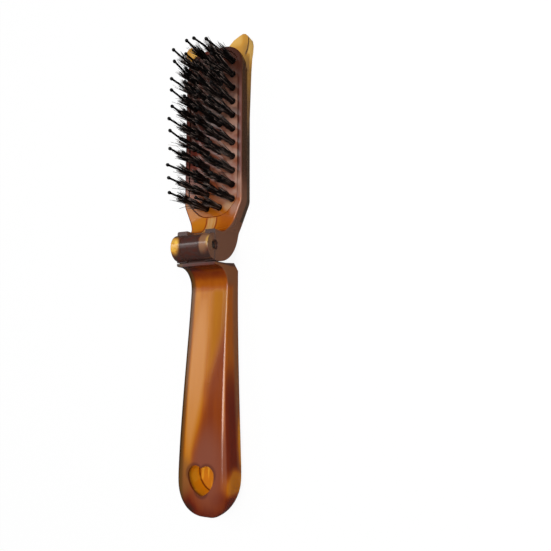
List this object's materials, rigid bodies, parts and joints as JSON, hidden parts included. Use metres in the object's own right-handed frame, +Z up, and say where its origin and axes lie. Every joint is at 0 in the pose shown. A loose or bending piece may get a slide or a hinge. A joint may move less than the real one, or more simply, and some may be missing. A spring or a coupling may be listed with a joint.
{
  "type": "folding travel brush",
  "caption": "Folding hair brush: a bristle head with pointed ears, hinged by a pin on a swelling handle with a heart-shaped recess, lying open on its back.",
  "frame": {"origin": "middle of the brush's plan, on the plane that its back rests on", "axes": "+X across the brush along the hinge pin, +Y from the handle's end to the ears, +Z up along the bristles"},
  "size_m": [0.0312, 0.197, 0.0248],
  "materials": {
    "amber_handle": "glossy amber moulding, orange at the hinge and dark red towards the end",
    "amber_frame": "glossy amber moulding, dark brown on thick parts",
    "golden_cover": "glossy golden amber",
    "dark_base": "satin dark red-brown",
    "pin_steel": "plain drawn steel",
    "bristle": "black bristle",
    "nylon": "black nylon",
    "anchor_wire": "flat wire"
  },
  "bodies": {
    "handle": {"handle_body": "amber_handle"},
    "head": {"head_frame": "amber_frame", "back_cover": "golden_cover", "bristle_base": "dark_base", "hinge_pin": "pin_steel", "tuft_row_01": "bristle", "nylon_row_01": "nylon", "anchor_row_01": "anchor_wire", "tuft_row_02": "bristle", "nylon_row_02": "nylon", "anchor_row_02": "anchor_wire", "tuft_row_03": "bristle", "nylon_row_03": "nylon", "anchor_row_03": "anchor_wire", "tuft_row_04": "bristle", "nylon_row_04": "nylon", "anchor_row_04": "anchor_wire", "tuft_row_05": "bristle", "nylon_row_05": "nylon", "anchor_row_05": "anchor_wire", "tuft_row_06": "bristle", "nylon_row_06": "nylon", "anchor_row_06": "anchor_wire", "tuft_row_07": "bristle", "nylon_row_07": "nylon", "anchor_row_07": "anchor_wire", "tuft_row_08": "bristle", "nylon_row_08": "nylon", "anchor_row_08": "anchor_wire", "tuft_row_09": "bristle", "nylon_row_09": "nylon", "anchor_row_09": "anchor_wire", "tuft_row_10": "bristle", "nylon_row_10": "nylon", "anchor_row_10": "anchor_wire", "tuft_row_11": "bristle", "nylon_row_11": "nylon", "anchor_row_11": "anchor_wire", "tuft_row_12": "bristle", "nylon_row_12": "nylon", "anchor_row_12": "anchor_wire"}
  },
  "joints": [
    {"name": "fold", "type": "hinge", "parent": "handle", "child": "head", "pos_m": [0, 0.00487, 0.019], "axis": [1, 0, 0], "range_deg": [0, 178]}
  ]
}
